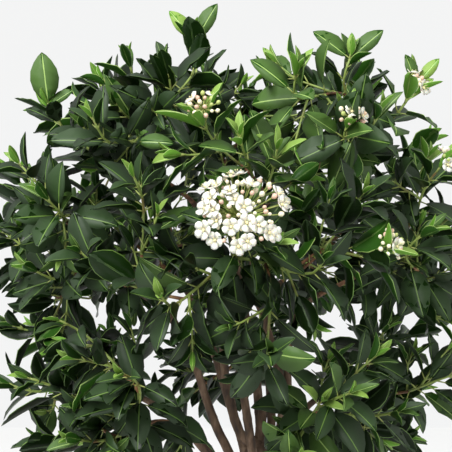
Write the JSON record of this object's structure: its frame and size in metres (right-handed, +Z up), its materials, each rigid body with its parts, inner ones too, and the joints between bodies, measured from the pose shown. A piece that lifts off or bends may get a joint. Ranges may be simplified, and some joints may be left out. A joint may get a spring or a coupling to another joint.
{
  "type": "potted standard laurustinus",
  "caption": "Evergreen flowering shrub trained to a round leafy head with flat white flower clusters on a clear woody stem, growing in a plain round clay pot of soil.",
  "frame": {"origin": "middle of the pot's flat underside, on the floor", "axes": "+Z up along the pot's axis and the stem; -Y towards the viewer of the picture, the side with the large flower head; +X to that viewer's right"},
  "size_m": [0.5034, 0.4716, 1.1091],
  "materials": {
    "clay": "unglazed, matt",
    "soil": "moist, crumbly",
    "bark": "matt, finely cracked bark",
    "foliage": "glossy upper side, matt underside"
  },
  "bodies": {
    "root": {"pot": "clay", "soil": "soil", "trunk": "bark", "bough_low_right_front": "bark", "bough_low_right": "bark", "bough_low_rear": "bark", "bough_low_left": "bark", "bough_low_left_front": "bark", "bough_middle_front": "bark", "bough_middle_right": "bark", "bough_middle_right_rear": "bark", "bough_middle_left_rear": "bark", "bough_middle_left": "bark", "bough_top_right": "bark", "bough_top_rear": "bark", "bough_top_left": "bark", "foliage_low_right_front": "foliage", "foliage_low_right": "foliage", "foliage_low_rear": "foliage", "foliage_low_left": "foliage", "foliage_low_left_front": "foliage", "foliage_middle_front": "foliage", "foliage_middle_right": "foliage", "foliage_middle_right_rear": "foliage", "foliage_middle_left_rear": "foliage", "foliage_middle_left": "foliage", "foliage_top_right": "foliage", "foliage_top_rear": "foliage", "foliage_top_left": "foliage"}
  },
  "joints": []
}
